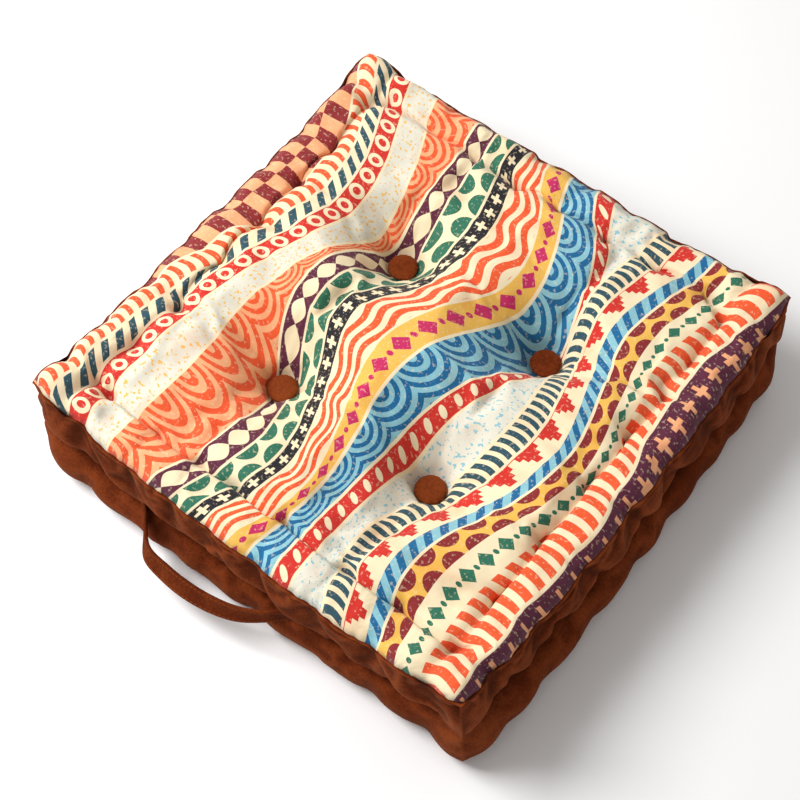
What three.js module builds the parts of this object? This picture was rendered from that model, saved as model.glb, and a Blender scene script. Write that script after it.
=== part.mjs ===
// A square mattress-style floor cushion: a filled rust velvet case with a drawn-in border,
// a printed top panel sewn to it, four covered tufting buttons and one carrying handle.
// Millimetres, +Z up. The origin is the middle of the flat base, and the handle is on the -Y side.
import * as THREE from "three";

// Outline of the cushion
const SEAM_HALF = 225; // middle of the cushion to the top seam, along X and along Y
const SEAM_HEIGHT = 95; // top seam above the floor, well away from the corners
const CORNER_RISE = 17; // how much higher the seam stands at a corner
const CORNER_REACH = 56; // distance from a corner over which that rise fades
const CORNER_TRIM = 3; // how far the point of a corner is rounded back along X and along Y
const SIDE_BULGE = 4; // how far the filling pushes the middle of a side out

// Rolled edge and crown of the top
const ROLL_RISE = 13; // the rolled edge above the seam
const ROLL_STEEP = 7; // distance over which the roll climbs from the seam
const CREASE_INSET = 38; // the sewn crease behind the rolled edge, from the seam
const CREASE_WIDTH = 9;
const CREASE_DEPTH = 5; // between two stitches
const STITCH_DEPTH = 12; // added to the crease at a stitch
const STITCH_WIDTH = 12; // half length of the pucker that one stitch makes along the seam
const SCALLOP = 3; // how far a stitch draws the seam in
const CROWN_RISE = -2; // the filling inside the creases, against the rolled edge

// Tufting
const BUTTON_RADIUS = 13.5;
const BUTTON_THICKNESS = 7.5;
const BUTTON_BACK = 9; // radius of the flat of a button's back
const TUFT_DEPTH = 51; // button seat below the crown
const TUFT_FLAT = 21; // radius of the seat under a button
const TUFT_REACH = 20; // distance beyond the seat over which a tuft fades
const PLEAT_DEPTH = 9; // fold that runs through the buttons along Y
const CROSS_PLEAT_DEPTH = 4; // the weaker fold along X
const PLEAT_WIDTH = 9;

// The buttons, named by the corner they are nearest to, at their places on the top
const BUTTONS = [
  { place: "left", x: -79, y: -80 },
  { place: "front", x: 79, y: -79 },
  { place: "right", x: 82, y: 75 },
  { place: "back", x: -76, y: 79 },
];

// Cloth and gaps
const PANEL_THICKNESS = 2.2;
const PIECE_GAP = 0.5; // upright gap between the case and what is sewn on it
const LIP_RISE = 3; // turned seam edge that frames the printed panel
const LIP_WIDTH = 3;

// Distances from the seam of the lines that divide the top, closest where it bends most
const LINE_INSETS = [
  0, LIP_WIDTH, 9, 17, 26, 35, 45, 57, 71, 85, 99,
  112, 124, 135, 146, 157, 168, 181, 195, 210, SEAM_HALF,
];

// Border rows from the seam to the floor. level is the share of the seam's height,
// out the distance beyond the seam, swell the share taken of a side's own lower swelling,
// and pinch how far a stitch draws that row in.
const BAND_ROWS = [
  { level: 0.95, out: 0.5, swell: 0.0, pinch: 1 },
  { level: 0.89, out: -2.0, swell: 0.0, pinch: 3 },
  { level: 0.79, out: 3.5, swell: 0.1, pinch: 6 },
  { level: 0.67, out: 5.5, swell: 0.25, pinch: 9 },
  { level: 0.56, out: 1.0, swell: 0.4, pinch: 10 },
  { level: 0.48, out: -3.5, swell: 0.6, pinch: 8 },
  { level: 0.39, out: 0.5, swell: 0.8, pinch: 6 },
  { level: 0.26, out: 2.0, swell: 1.0, pinch: 4 },
  { level: 0.13, out: 0.5, swell: 1.0, pinch: 3 },
  { level: 0.035, out: -4.0, swell: 0.8, pinch: 1 },
  { level: 0.0, out: -10.0, swell: 0.5, pinch: 0 },
];
const BAND_LEAN = 60; // how far the border's puckers lean along the side from seam to floor

// The four sides in order round the cushion. along is the way a side runs, swell how far its lower roll
// stands out at its start and at its end, and stitches the places of its side stitches.
const SIDES = [
  { along: [1, 0], out: [0, -1], swell: [16, 3], stitches: [-169, -112, -67, -30, 20, 80, 137, 190] },
  { along: [0, 1], out: [1, 0], swell: [15, 9], stitches: [-188, -135, -76, -14, 38, 88, 128, 172] },
  { along: [-1, 0], out: [0, 1], swell: [10, 10], stitches: [-164, -110, -62, -15, 30, 80, 121, 176] },
  { along: [0, -1], out: [-1, 0], swell: [10, 12], stitches: [-178, -120, -72, -18, 33, 86, 140, 185] },
];
// The corners where those sides start. reach is how far a corner is pulled out along X and Y,
// and swell how far its lower roll stands out.
const CORNERS = [
  { at: [-1, -1], reach: [-2, -1], swell: 8 },
  { at: [1, -1], reach: [-1, 1], swell: 11 },
  { at: [1, 1], reach: [0, -1], swell: 2 },
  { at: [-1, 1], reach: [4, -2], swell: 8 },
];
const CORNER_TURN = 32; // distance from a corner over which the border turns to face it
const CORNER_PULL = 90; // distance over which a corner's reach fades

// Handle strap, from its left sewn end to its right one. x and z are its middle line, gap its inner face
// beyond the border, and tilt how far its face leans back from upright, in degrees.
const STRAP_WIDTH = 16;
const STRAP_THICKNESS = 3.5;
const STRAP_STEPS = 44;
const STRAP_ROWS = [
  { x: -112, z: 46, gap: 0.7, tilt: 0 },
  { x: -101, z: 43, gap: 0.7, tilt: 4 },
  { x: -90, z: 39, gap: 5, tilt: 12 },
  { x: -75, z: 34, gap: 14, tilt: 24 },
  { x: -56, z: 30, gap: 21, tilt: 30 },
  { x: -33, z: 28, gap: 24, tilt: 30 },
  { x: -8, z: 28, gap: 22, tilt: 26 },
  { x: 16, z: 31, gap: 16, tilt: 20 },
  { x: 36, z: 36, gap: 7, tilt: 10 },
  { x: 49, z: 41, gap: 0.7, tilt: 4 },
  { x: 62, z: 44, gap: 0.7, tilt: 0 },
];

function cloth(name, color, roughness) {
  return new THREE.MeshStandardMaterial({ name, color, roughness, metalness: 0 });
}

const CLOTH = {
  velvet: cloth("rust velvet", 0x8a3f1a, 0.9),
  print: cloth("printed cloth", 0xe8cfa0, 0.8),
  button: cloth("covered button", 0x93431d, 0.85),
};

const hill = (distance, width) => Math.exp(-((distance / width) ** 2));
const mix = (from, to, share) => from + (to - from) * share;

// Points and triangles of one closed surface.
class Skin {
  points = [];
  corners = [];

  add(x, y, z) {
    this.points.push(x, y, z);
    return this.points.length / 3 - 1;
  }

  quad(a, b, c, d) {
    this.corners.push(a, b, c, a, c, d);
  }

  geometry() {
    const made = new THREE.BufferGeometry();
    made.setAttribute("position", new THREE.Float32BufferAttribute(this.points, 3));
    made.setIndex(this.corners);
    made.computeVertexNormals();
    return made;
  }
}

// The dividing lines of the top as coordinates, from one seam to the other.
const lines = [
  ...LINE_INSETS.map((inset) => inset - SEAM_HALF),
  ...LINE_INSETS.slice(0, -1).reverse().map((inset) => SEAM_HALF - inset),
];
const LAST = lines.length - 1;

// How strongly the stitches of a side pucker the cloth at a place along it.
function pucker(side, place) {
  const nearest = Math.min(...side.stitches.map((stitch) => Math.abs(place - stitch)));
  return hill(nearest, STITCH_WIDTH);
}

// The four sides as seen from a point of the top: the distance in from each seam and the place along it.
function fromSides(x, y) {
  return SIDES.map((side) => ({
    side,
    inset: SEAM_HALF - (x * side.out[0] + y * side.out[1]),
    place: x * side.along[0] + y * side.along[1],
  }));
}

function cornerRise(x, y) {
  const fromCorner = Math.hypot(SEAM_HALF - Math.abs(x), SEAM_HALF - Math.abs(y));
  return CORNER_RISE * hill(fromCorner, CORNER_REACH);
}

const seamHeight = (x, y) => SEAM_HEIGHT + cornerRise(x, y);

// Depth of the dimple that the nearest button pulls into the crown.
function tuft(x, y) {
  const nearest = Math.min(...BUTTONS.map((button) => Math.hypot(x - button.x, y - button.y)));
  const beyond = Math.max(0, nearest - TUFT_FLAT);
  return TUFT_DEPTH * Math.exp(-((beyond / TUFT_REACH) ** 1.25));
}

// Depth of the folds that run from button to button and on to the rolled edge.
function pleats(x, y) {
  const lengthways = Math.max(...BUTTONS.map((button) => hill(x - button.x, PLEAT_WIDTH)));
  const crossways = Math.max(...BUTTONS.map((button) => hill(y - button.y, PLEAT_WIDTH)));
  return Math.max(PLEAT_DEPTH * lengthways, CROSS_PLEAT_DEPTH * crossways);
}

// Height of the printed face.
function topHeight(x, y) {
  const sides = fromSides(x, y);
  const inset = Math.min(...sides.map((s) => s.inset));
  const creases = sides.map((s) => {
    const depth = CREASE_DEPTH + STITCH_DEPTH * pucker(s.side, s.place);
    return depth * hill(s.inset - CREASE_INSET, CREASE_WIDTH);
  });
  const inside = 1 / (1 + Math.exp((CREASE_INSET - inset) / CREASE_WIDTH));
  const roll = ROLL_RISE * (1 - hill(inset, ROLL_STEEP));
  const drawn = Math.max(...creases, inside * tuft(x, y), inside * pleats(x, y));
  return seamHeight(x, y) + roll + inside * CROWN_RISE - drawn;
}

// Where a point of the square cut lies in plan, once it is filled and the stitches have drawn the seam in.
function planPoint(x, y) {
  let [px, py] = [x, y];
  for (const { side, inset, place } of fromSides(x, y)) {
    const bulged = SIDE_BULGE * Math.cos((place / SEAM_HALF) * (Math.PI / 2));
    const moved = (bulged - SCALLOP * pucker(side, place)) * hill(inset, CREASE_INSET);
    px += side.out[0] * moved;
    py += side.out[1] * moved;
  }
  for (const { at, reach } of CORNERS) {
    const distance = Math.hypot(x - at[0] * SEAM_HALF, y - at[1] * SEAM_HALF);
    const trimmed = CORNER_TRIM * hill(distance, LIP_WIDTH * 4);
    px += at[0] * (reach[0] * hill(distance, CORNER_PULL) - trimmed);
    py += at[1] * (reach[1] * hill(distance, CORNER_PULL) - trimmed);
  }
  return [px, py];
}

// How far a place on a side has turned towards the corner's diagonal, from 0 to 1.
const turned = (place) => THREE.MathUtils.smoothstep(Math.abs(place), SEAM_HALF - CORNER_TURN, SEAM_HALF);

// Way out of the cushion at a place on a side.
function outward(side, place) {
  const turn = turned(place) * Math.sign(place);
  const way = new THREE.Vector2(side.out[0] + side.along[0] * turn, side.out[1] + side.along[1] * turn);
  return way.normalize();
}

// A point of the border: the side, the place along it, and a row.
function bandPoint(side, place, row) {
  const x = side.along[0] * place + side.out[0] * SEAM_HALF;
  const y = side.along[1] * place + side.out[1] * SEAM_HALF;
  const [px, py] = planPoint(x, y);
  const ownSwell = mix(side.swell[0], side.swell[1], place / (2 * SEAM_HALF) + 0.5);
  const corner = CORNERS[(SIDES.indexOf(side) + (place > 0 ? 1 : 0)) % CORNERS.length];
  const swell = mix(ownSwell, corner.swell, turned(place));
  const leaning = place - BAND_LEAN * (0.5 - row.level);
  const out = row.out + row.swell * swell - row.pinch * pucker(side, leaning);
  const way = outward(side, place);
  return [px + way.x * out, py + way.y * out, row.level * seamHeight(x, y)];
}

// Case: top under the printed panel, lip, border and flat base as one filled solid.
function caseGeometry() {
  const skin = new Skin();
  const onSeam = (i, j) => i === 0 || j === 0 || i === LAST || j === LAST;
  const top = lines.map((x, i) =>
    lines.map((y, j) => {
      const [px, py] = planPoint(x, y);
      const under = topHeight(x, y) - PANEL_THICKNESS - PIECE_GAP;
      return skin.add(px, py, onSeam(i, j) ? seamHeight(x, y) + LIP_RISE : under);
    }),
  );
  for (let i = 0; i < LAST; i++) {
    for (let j = 0; j < LAST; j++) skin.quad(top[i][j], top[i + 1][j], top[i + 1][j + 1], top[i][j + 1]);
  }
  const seam = SIDES.flatMap((side) =>
    lines.slice(0, -1).map((place) => ({
      side,
      place,
      vertex: top[gridIndex(side, place, 0)][gridIndex(side, place, 1)],
    })),
  );
  let upper = seam.map((s) => s.vertex);
  for (const row of BAND_ROWS) {
    const lower = seam.map((s) => skin.add(...bandPoint(s.side, s.place, row)));
    upper.forEach((a, k) => {
      const next = (k + 1) % upper.length;
      skin.quad(a, lower[k], lower[next], upper[next]);
    });
    upper = lower;
  }
  const outline = upper.map((v) => new THREE.Vector2(skin.points[3 * v], skin.points[3 * v + 1]));
  for (const [a, b, c] of THREE.ShapeUtils.triangulateShape(outline, [])) {
    skin.corners.push(upper[a], upper[c], upper[b]);
  }
  return skin.geometry();
}

// Index of the dividing line, along X or along Y, that a place on a seam lies on.
function gridIndex(side, place, axis) {
  return lines.indexOf(side.along[axis] * place + side.out[axis] * SEAM_HALF);
}

// Printed top panel: one sheet over the crown, inside the lip.
function panelGeometry() {
  const skin = new Skin();
  const inner = lines.slice(1, -1);
  const last = inner.length - 1;
  const sheet = (drop) =>
    inner.map((x) => inner.map((y) => skin.add(...planPoint(x, y), topHeight(x, y) - drop)));
  const face = sheet(0);
  const back = sheet(PANEL_THICKNESS);
  for (let i = 0; i < last; i++) {
    for (let j = 0; j < last; j++) {
      skin.quad(face[i][j], face[i + 1][j], face[i + 1][j + 1], face[i][j + 1]);
      skin.quad(back[i][j], back[i][j + 1], back[i + 1][j + 1], back[i + 1][j]);
    }
    skin.quad(face[i][0], back[i][0], back[i + 1][0], face[i + 1][0]);
    skin.quad(face[i + 1][last], back[i + 1][last], back[i][last], face[i][last]);
    skin.quad(face[0][i + 1], back[0][i + 1], back[0][i], face[0][i]);
    skin.quad(face[last][i], back[last][i], back[last][i + 1], face[last][i + 1]);
  }
  return skin.geometry();
}

// Covered button: a low dome over a shallow rounded back, turned about its axis, with its back at zero.
function buttonGeometry() {
  const rimHeight = BUTTON_THICKNESS * 0.45;
  const outline = [new THREE.Vector2(0, 0)];
  const arcSteps = 6;
  for (let k = 0; k <= arcSteps; k++) {
    const turn = (k / arcSteps) * (Math.PI / 2);
    const radius = mix(BUTTON_BACK, BUTTON_RADIUS, Math.sin(turn));
    outline.push(new THREE.Vector2(radius, rimHeight * (1 - Math.cos(turn))));
  }
  for (let k = 1; k <= arcSteps; k++) {
    const turn = (k / arcSteps) * (Math.PI / 2);
    const height = rimHeight + (BUTTON_THICKNESS - rimHeight) * Math.sin(turn);
    outline.push(new THREE.Vector2(k === arcSteps ? 0 : BUTTON_RADIUS * Math.cos(turn), height));
  }
  return new THREE.LatheGeometry(outline, 24).rotateX(Math.PI / 2);
}

// Place of the front border's surface at a height, read between its rows.
function borderFace(x, z) {
  const front = SIDES[0];
  const rows = BAND_ROWS.map((row) => bandPoint(front, x, row));
  const k = rows.findIndex((point) => point[2] <= z);
  const [above, below] = [rows[k - 1], rows[k]];
  return mix(below[1], above[1], (z - below[2]) / (above[2] - below[2]));
}

// Outermost place of the border behind one width of the strap.
function strapBacking(x, z) {
  const reach = [-0.5, -0.25, 0, 0.25, 0.5].map((share) => share * STRAP_WIDTH);
  return Math.min(...reach.flatMap((dx) => reach.map((dz) => borderFace(x + dx, z + dz))));
}

// Handle strap: a flat turned band of cloth, lofted along its middle line.
function strapGeometry() {
  const path = new THREE.CatmullRomCurve3(STRAP_ROWS.map(strapMiddle), false, "centripetal");
  const skin = new Skin();
  const rings = [];
  for (let k = 0; k <= STRAP_STEPS; k++) {
    const share = k / STRAP_STEPS;
    const way = path.getTangent(share);
    const tilt = THREE.MathUtils.degToRad(strapTilt(share));
    const across = new THREE.Vector3(0, -Math.sin(tilt), Math.cos(tilt));
    across.addScaledVector(way, -across.dot(way)).normalize();
    const face = new THREE.Vector3().crossVectors(across, way).normalize();
    rings.push(strapSection(skin, path.getPoint(share), across, face));
  }
  const sides = rings[0].length;
  for (let k = 0; k < STRAP_STEPS; k++) {
    for (let s = 0; s < sides; s++) {
      const next = (s + 1) % sides;
      skin.quad(rings[k][s], rings[k + 1][s], rings[k + 1][next], rings[k][next]);
    }
  }
  capRing(skin, rings[0], true);
  capRing(skin, rings[STRAP_STEPS], false);
  return skin.geometry();
}

// Middle of the strap at a row of its table.
function strapMiddle(row) {
  return new THREE.Vector3(row.x, strapBacking(row.x, row.z) - row.gap - STRAP_THICKNESS / 2, row.z);
}

// Lean of the strap, in degrees, at a share of its path.
function strapTilt(share) {
  const step = share * (STRAP_ROWS.length - 1);
  const k = Math.min(Math.floor(step), STRAP_ROWS.length - 2);
  return mix(STRAP_ROWS[k].tilt, STRAP_ROWS[k + 1].tilt, step - k);
}

// The strap's section: a flat band whose two edges are folded round.
function strapSection(skin, middle, across, face) {
  const [edge, shoulder] = [STRAP_WIDTH / 2, STRAP_WIDTH * 0.43];
  const [thick, thin] = [STRAP_THICKNESS / 2, STRAP_THICKNESS * 0.2];
  const half = [[edge, thin], [shoulder, thick], [-shoulder, thick], [-edge, thin]];
  const outline = [...half, ...half.map(([u, v]) => [-u, -v])];
  return outline.map(([u, v]) => {
    const point = middle.clone().addScaledVector(across, u).addScaledVector(face, v);
    return skin.add(...point.toArray());
  });
}

function capRing(skin, ring, first) {
  for (let s = 1; s < ring.length - 1; s++) {
    const corner = [ring[0], ring[s], ring[s + 1]];
    skin.corners.push(...(first ? corner : corner.reverse()));
  }
}

function piece(name, geometry, material) {
  const mesh = new THREE.Mesh(geometry, material);
  mesh.name = name;
  return mesh;
}

const cushion = new THREE.Group();
cushion.name = "tufted floor cushion";
cushion.add(piece("cushion_case", caseGeometry(), CLOTH.velvet));
cushion.add(piece("top_panel", panelGeometry(), CLOTH.print));
for (const { place, x, y } of BUTTONS) {
  const button = piece(`button_${place}`, buttonGeometry(), CLOTH.button);
  button.position.set(x, y, topHeight(x, y) + PIECE_GAP);
  cushion.add(button);
}
cushion.add(piece("handle_strap", strapGeometry(), CLOTH.velvet));

export default cushion;
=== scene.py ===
"""Looks of a square tufted floor cushion: filled velvet case, printed top, covered buttons and handle."""

import math

import bmesh
import bpy
from bpy.props import FloatProperty, FloatVectorProperty, IntProperty, PointerProperty
from mathutils import Matrix, Vector, noise
from mathutils.bvhtree import BVHTree


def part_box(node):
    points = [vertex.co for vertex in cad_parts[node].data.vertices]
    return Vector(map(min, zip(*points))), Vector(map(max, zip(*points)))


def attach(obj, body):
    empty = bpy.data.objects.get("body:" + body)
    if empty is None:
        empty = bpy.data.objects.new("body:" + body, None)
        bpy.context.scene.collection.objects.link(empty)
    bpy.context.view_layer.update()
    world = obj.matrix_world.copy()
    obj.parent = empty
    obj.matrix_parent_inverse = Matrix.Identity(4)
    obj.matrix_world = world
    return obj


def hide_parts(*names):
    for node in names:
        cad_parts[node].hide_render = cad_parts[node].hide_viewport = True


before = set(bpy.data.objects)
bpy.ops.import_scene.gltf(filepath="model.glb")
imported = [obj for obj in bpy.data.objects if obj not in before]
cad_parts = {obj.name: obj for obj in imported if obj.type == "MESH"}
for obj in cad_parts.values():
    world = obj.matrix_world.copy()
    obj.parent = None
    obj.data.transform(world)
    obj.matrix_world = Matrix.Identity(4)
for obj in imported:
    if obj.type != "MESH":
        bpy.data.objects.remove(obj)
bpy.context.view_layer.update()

bl_info = {
    "name": "Tufted Floor Cushion",
    "version": (1, 0, 0),
    "blender": (4, 5, 0),
    "location": "View3D > Sidebar > Cushion",
    "description": "Sews, fills and dresses a square tufted floor cushion",
    "category": "Object",
}

MM = 0.001

# The four sides in order round the cushion: the way a side runs, the way out of it, how far its lower roll
# stands out at its start and its end, and the places of its side stitches, in millimetres.
SIDES = (
    {
        "along": (1, 0), "out": (0, -1), "swell": (16, 3),
        "stitches": (-169, -112, -67, -30, 20, 80, 137, 190),
    },
    {
        "along": (0, 1), "out": (1, 0), "swell": (15, 9),
        "stitches": (-188, -135, -76, -14, 38, 88, 128, 172),
    },
    {
        "along": (-1, 0), "out": (0, 1), "swell": (10, 10),
        "stitches": (-164, -110, -62, -15, 30, 80, 121, 176),
    },
    {
        "along": (0, -1), "out": (-1, 0), "swell": (10, 12),
        "stitches": (-178, -120, -72, -18, 33, 86, 140, 185),
    },
)

# The corners where those sides start: which way they lie, how far each is pulled out along X and Y,
# and how far its lower roll stands out, in millimetres.
CORNERS = (
    {"at": (-1, -1), "reach": (-2, -1), "swell": 8},
    {"at": (1, -1), "reach": (-1, 1), "swell": 11},
    {"at": (1, 1), "reach": (0, -1), "swell": 2},
    {"at": (-1, 1), "reach": (4, -2), "swell": 8},
)

# The border from the seam to the floor: share of the seam's height, millimetres beyond the seam,
# share of the side's swelling, millimetres that a stitch draws it in, and how firmly it is held in filling.
BORDER_ROWS = (
    {"level": 1.0, "out": 0.0, "swell": 0.0, "pinch": 0, "held": 0.7},
    {"level": 0.95, "out": 0.0, "swell": 0.0, "pinch": 0.5, "held": 0.25},
    {"level": 0.89, "out": 0.5, "swell": 0.0, "pinch": 1.5, "held": 0.1},
    {"level": 0.79, "out": 2.5, "swell": 0.1, "pinch": 3, "held": 0.06},
    {"level": 0.67, "out": 3.5, "swell": 0.25, "pinch": 6, "held": 0.06},
    {"level": 0.56, "out": -1.0, "swell": 0.4, "pinch": 9, "held": 0.2},
    {"level": 0.49, "out": -11.0, "swell": 0.6, "pinch": 8, "held": 0.6},
    {"level": 0.40, "out": -2.0, "swell": 0.8, "pinch": 4.5, "held": 0.12},
    {"level": 0.26, "out": 1.0, "swell": 1.0, "pinch": 1, "held": 0.2},
    {"level": 0.13, "out": 0.5, "swell": 1.0, "pinch": 0.5, "held": 0.25},
    {"level": 0.035, "out": -4.0, "swell": 0.8, "pinch": 1, "held": 0.4},
    {"level": 0.0, "out": -10.0, "swell": 0.5, "pinch": 0, "held": 1.0},
)

# The seam and the border, in millimetres.
EAR_REACH = 56  # how far a raised corner reaches
UNEVEN_RISE = 2.5  # how uneven the seam's height is
UNEVEN_LENGTH = 60.0  # distance over which it changes
SEAM_BOW = 4  # how far the middle of a seam bows out
STITCH_PULL = 3.5  # how far a stitch draws the seam in
STITCH_WIDTH = 13  # how far along a side a stitch draws the border
CORNER_REACH = 90  # how far a pulled corner reaches
CORNER_BLUNT = 3  # how far the corner's point is drawn in
CORNER_POINT = 12  # reach of that point
SIDE_TURN = 32  # where the border starts to turn towards the next side
BORDER_LEAN = 52  # how far a fold leans along the side from seam to floor
FOLD_DRIFT = 10  # how far a fold wanders from its line
DRIFT_LENGTH = 45.0  # distance over which it wanders
JOIN_DEPTH = 1.5  # depth of the upright seam at a corner
JOIN_WIDTH = 4  # width of that seam
GROOVE_LEVEL = 0.49  # share of the seam's height at which the side stitches sit

# The top, in millimetres.
ROLL_WIDTH = 7  # how soon the rolled edge rises behind the seam
MIDDLE_DROP = 2  # how much lower the top lies inside the crease
MIDDLE_BLEND = 9  # distance over which it drops
CREASE_DEPTH = 8  # depth of the sewn crease between stitches
CREASE_WIDTH = 8  # width of the crease
PUCKER_DEPTH = 20  # how much deeper a stitch draws it
PUCKER_WIDTH = 10  # how far along the crease a stitch draws it
PLEAT_WIDTH = 9  # width of the folds through the buttons
PLEAT_LENGTHWAYS = 9  # depth of the folds that run from the handle side to the far side
PLEAT_CROSSWAYS = 4  # depth of the folds across them
SEAT_RADIUS = 15  # flat seat under a button
TUFT_REACH = 22  # how far a button pulls the cloth round its seat

# The vertex groups of the cloth while it is filled, in order.
CLOTH_GROUPS = ("held", "pushed", "snug")
HELD, PUSHED, SNUG = range(3)
MOST_MOVE = 0.016

# Which faces of the filled form are velvet and which are the printed panel.
VELVET, PANEL = range(2)
PANEL_GAP = 0.0005
BASE_RING = 0.97

# The buttons at their places on the top, in millimetres.
BUTTONS = (
    {"place": "left", "x": -79, "y": -80},
    {"place": "front", "x": 79, "y": -79},
    {"place": "right", "x": 82, "y": 75},
    {"place": "back", "x": -76, "y": 79},
)

# Middle line of the handle strap in millimetres, and how far its face leans back, in degrees.
STRAP_ROWS = (
    {"x": -104, "y": -236.6, "z": 49, "tilt": 0},
    {"x": -97, "y": -239.5, "z": 44, "tilt": -4},
    {"x": -88, "y": -246.5, "z": 39, "tilt": -14},
    {"x": -75, "y": -256.2, "z": 34, "tilt": -30},
    {"x": -56, "y": -259.0, "z": 31, "tilt": -42},
    {"x": -33, "y": -259.6, "z": 30, "tilt": -46},
    {"x": -8, "y": -257.0, "z": 31, "tilt": -40},
    {"x": 16, "y": -251.0, "z": 34, "tilt": -28},
    {"x": 36, "y": -243.5, "z": 38, "tilt": -10},
    {"x": 49, "y": -238.9, "z": 41, "tilt": -3},
    {"x": 62, "y": -238.2, "z": 44, "tilt": 0},
)

# The camera's place in metres and its angles in degrees, and the width of the picture in pixels.
CAMERA = {"azimuth": 42.1, "elevation": 59.73, "roll": -3.94, "place": (0.44172, -0.50971, 1.17019)}
PICTURE_WIDTH = 800

# The lights: place and size in metres, and the stage property that gives the strength.
LIGHTS = (
    {"name": "overhead", "place": (-1.05, -0.5, 1.45), "size": 0.95, "power": "key"},
    {"name": "side", "place": (-0.2, 1.6, 1.2), "size": 1.0, "power": "fill"},
)


def hill(distance, width):
    """A smooth rise that is 1 at no distance and fades over a width."""
    return math.exp(-((distance / width) ** 2))


def mix(low, high, part):
    """The value at a part of the way from low to high."""
    return low + (high - low) * part


def smooth(low, high, value):
    """0 below low, 1 above high and a smooth step between."""
    part = min(1.0, max(0.0, (value - low) / (high - low)))
    return part * part * (3 - 2 * part)


def linear(red, green, blue):
    """A colour of 0 to 255 as Blender's linear colour with alpha."""
    levels = (c / 255 / 12.92 if c <= 10 else ((c / 255 + 0.055) / 1.055) ** 2.4 for c in (red, green, blue))
    return (*levels, 1.0)


def length(name, description, default):
    """A length property in metres."""
    return FloatProperty(name=name, description=description, default=default, unit="LENGTH")


def share(name, description, default):
    """A property from 0 to 1."""
    return FloatProperty(name=name, description=description, default=default, min=0, max=1, subtype="FACTOR")


def strength(name, description, default, subtype="NONE"):
    """A property of 0 or more."""
    return FloatProperty(name=name, description=description, default=default, min=0, subtype=subtype)


def count(name, description, default, least):
    """A property of whole numbers."""
    return IntProperty(name=name, description=description, default=default, min=least)


def colour(name, description, *rgb):
    """A colour property, from a colour of 0 to 255."""
    return FloatVectorProperty(
        name=name, description=description, default=linear(*rgb), subtype="COLOR", size=4, min=0, max=1
    )


class CushionSizes(bpy.types.PropertyGroup):
    """Sizes of the filled cushion."""

    half: length("Half Side", "Middle of the cushion to its top seam", 0.225)
    seam: length("Seam Height", "Top seam above the floor along a side", 0.095)
    ear: length("Corner Rise", "How much higher the seam stands at a corner", 0.017)
    roll: length("Rolled Edge", "Rolled edge above the seam", 0.013)
    crease: length("Crease Inset", "Sewn crease behind the rolled edge, from the seam", 0.038)
    seat: length("Button Seat", "Cloth under a button, above the floor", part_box("button_left")[0].z - 0.0005)
    cloth: length("Cloth Thickness", "Thickness of the printed panel", 0.0012)
    turned: length("Turned Edge", "Width of the border that is turned over the top seam", 0.0022)
    lip: length("Seam Edge", "How far the turned seam edge stands out", 0.0008)
    cells: count("Cells", "Cells along one side of the top", 96, 24)
    rows: count("Border Rows", "Rows of cells down the border", 26, 8)
    pressure: strength("Filling Pressure", "Push of the filling against the cloth", 1.6)
    border_push: share("Border Push", "Share of the filling's push that reaches the border", 0.5)
    slack: share("Slack", "Share by which the cloth is cut larger than it lies", 0.065)
    snug: share("Lower Slack", "The same share for the lower half of the border", 0.012)
    steps: count("Settling Steps", "Frames for which the filled cloth settles", 14, 2)


class ButtonSizes(bpy.types.PropertyGroup):
    """Sizes of the covered buttons."""

    radius: length("Radius", "Middle of a button to its rim", 0.0135)
    height: length("Height", "Height of a button", 0.0075)
    tucks: count("Tucks", "Gathers of the cover round a button's rim", 14, 3)


class HandleSizes(bpy.types.PropertyGroup):
    """Sizes of the handle strap."""

    width: length("Width", "Width of the strap", 0.016)
    thickness: length("Thickness", "Thickness of the folded strap", 0.0032)
    stitch: length("Stitch", "Length of one stitch along the strap's edges", 0.0032)
    sunk: length("Sunk Ends", "How far the sewn ends sink into the border", 0.0014)
    gather: share("Gathered Ends", "Share by which the sewn ends are drawn narrower", 0.32)
    gathered: length("Gathered Length", "How far from an end the strap is drawn narrower", 0.009)


class VelvetLook(bpy.types.PropertyGroup):
    """Colours of the velvet."""

    nap: colour("Nap", "Velvet brushed away from the eye", 102, 41, 15)
    # The rubbed colour is the lighter brushed nap, and also the painted highlight on the velvet's ridges.
    rubbed: colour("Rubbed Nap", "Velvet brushed towards the eye", 134, 63, 27)
    # The deep colour is the standing pile's darker tone and also the painted shade in the velvet's folds and
    # hollows.
    deep_and_fold_shade: colour("Deep Nap", "Velvet where the pile stands up and in its folds", 38, 12, 4)
    sheen: share("Sheen", "Soft light along the velvet's edges", 0.06)


class PrintColours(bpy.types.PropertyGroup):
    """Colours of the printed top."""

    cream: colour("Cream", "Ground and outlines", 240, 222, 184)
    pale: colour("Pale", "Light speckled ground", 220, 216, 200)
    peach: colour("Peach", "Pale orange", 240, 168, 120)
    yellow: colour("Yellow", "Corn yellow", 234, 182, 82)
    orange: colour("Orange", "Bright orange", 232, 88, 44)
    red: colour("Red", "Orange red", 204, 46, 36)
    maroon: colour("Maroon", "Dark red", 134, 38, 40)
    magenta: colour("Magenta", "Pink red", 190, 38, 92)
    plum: colour("Plum", "Dark plum", 92, 36, 58)
    blue: colour("Blue", "Sea blue", 20, 98, 146)
    aqua: colour("Aqua", "Pale blue", 134, 188, 200)
    teal: colour("Teal", "Slate teal", 44, 78, 90)
    navy: colour("Navy", "Near black blue", 32, 30, 36)
    green: colour("Green", "Leaf green", 44, 108, 84)


class StageLook(bpy.types.PropertyGroup):
    """Floor, light and camera."""

    floor: colour("Floor", "Colour of the floor", 246, 246, 246)
    key: strength("Main Light", "Strength of the large light overhead", 39.0, "POWER")
    fill: strength("Side Light", "Strength of the light from the far side", 2.0, "POWER")
    sky: strength("Surrounding Light", "Strength of the light from all round", 0.44)
    focal: strength("Focal Length", "Focal length in pixels of the picture", 1534.8)


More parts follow.
